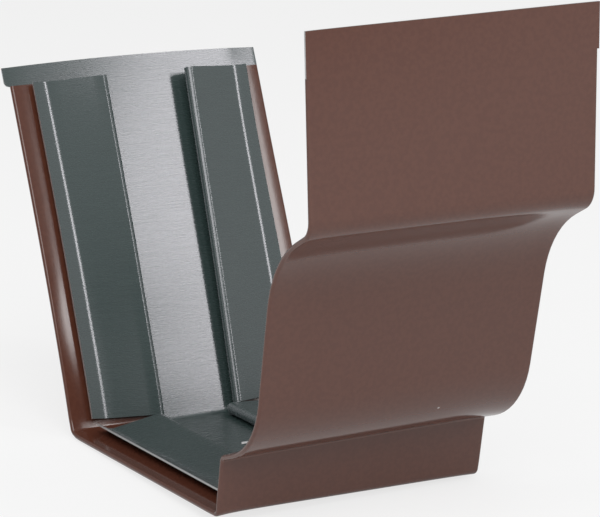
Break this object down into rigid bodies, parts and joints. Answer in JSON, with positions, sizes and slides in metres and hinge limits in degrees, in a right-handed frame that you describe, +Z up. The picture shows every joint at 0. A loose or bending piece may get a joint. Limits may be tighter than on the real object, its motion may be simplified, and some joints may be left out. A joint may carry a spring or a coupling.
{
  "type": "gutter connector",
  "caption": "Open trough of folded sheet with a stepped, curved front and folded pockets along its ends, for joining lengths of rain gutter.",
  "frame": {"origin": "middle of the underside of the bottom, half way along the gutter's run", "axes": "+X along the gutter, +Y towards the fascia board behind it, +Z up"},
  "size_m": [0.0778, 0.1721, 0.1283],
  "materials": {
    "painted_sheet": "satin brown coil paint on the outer face, grey wash coat on the inner face"
  },
  "bodies": {
    "root": {"connector_sheet": "painted_sheet"}
  },
  "joints": []
}
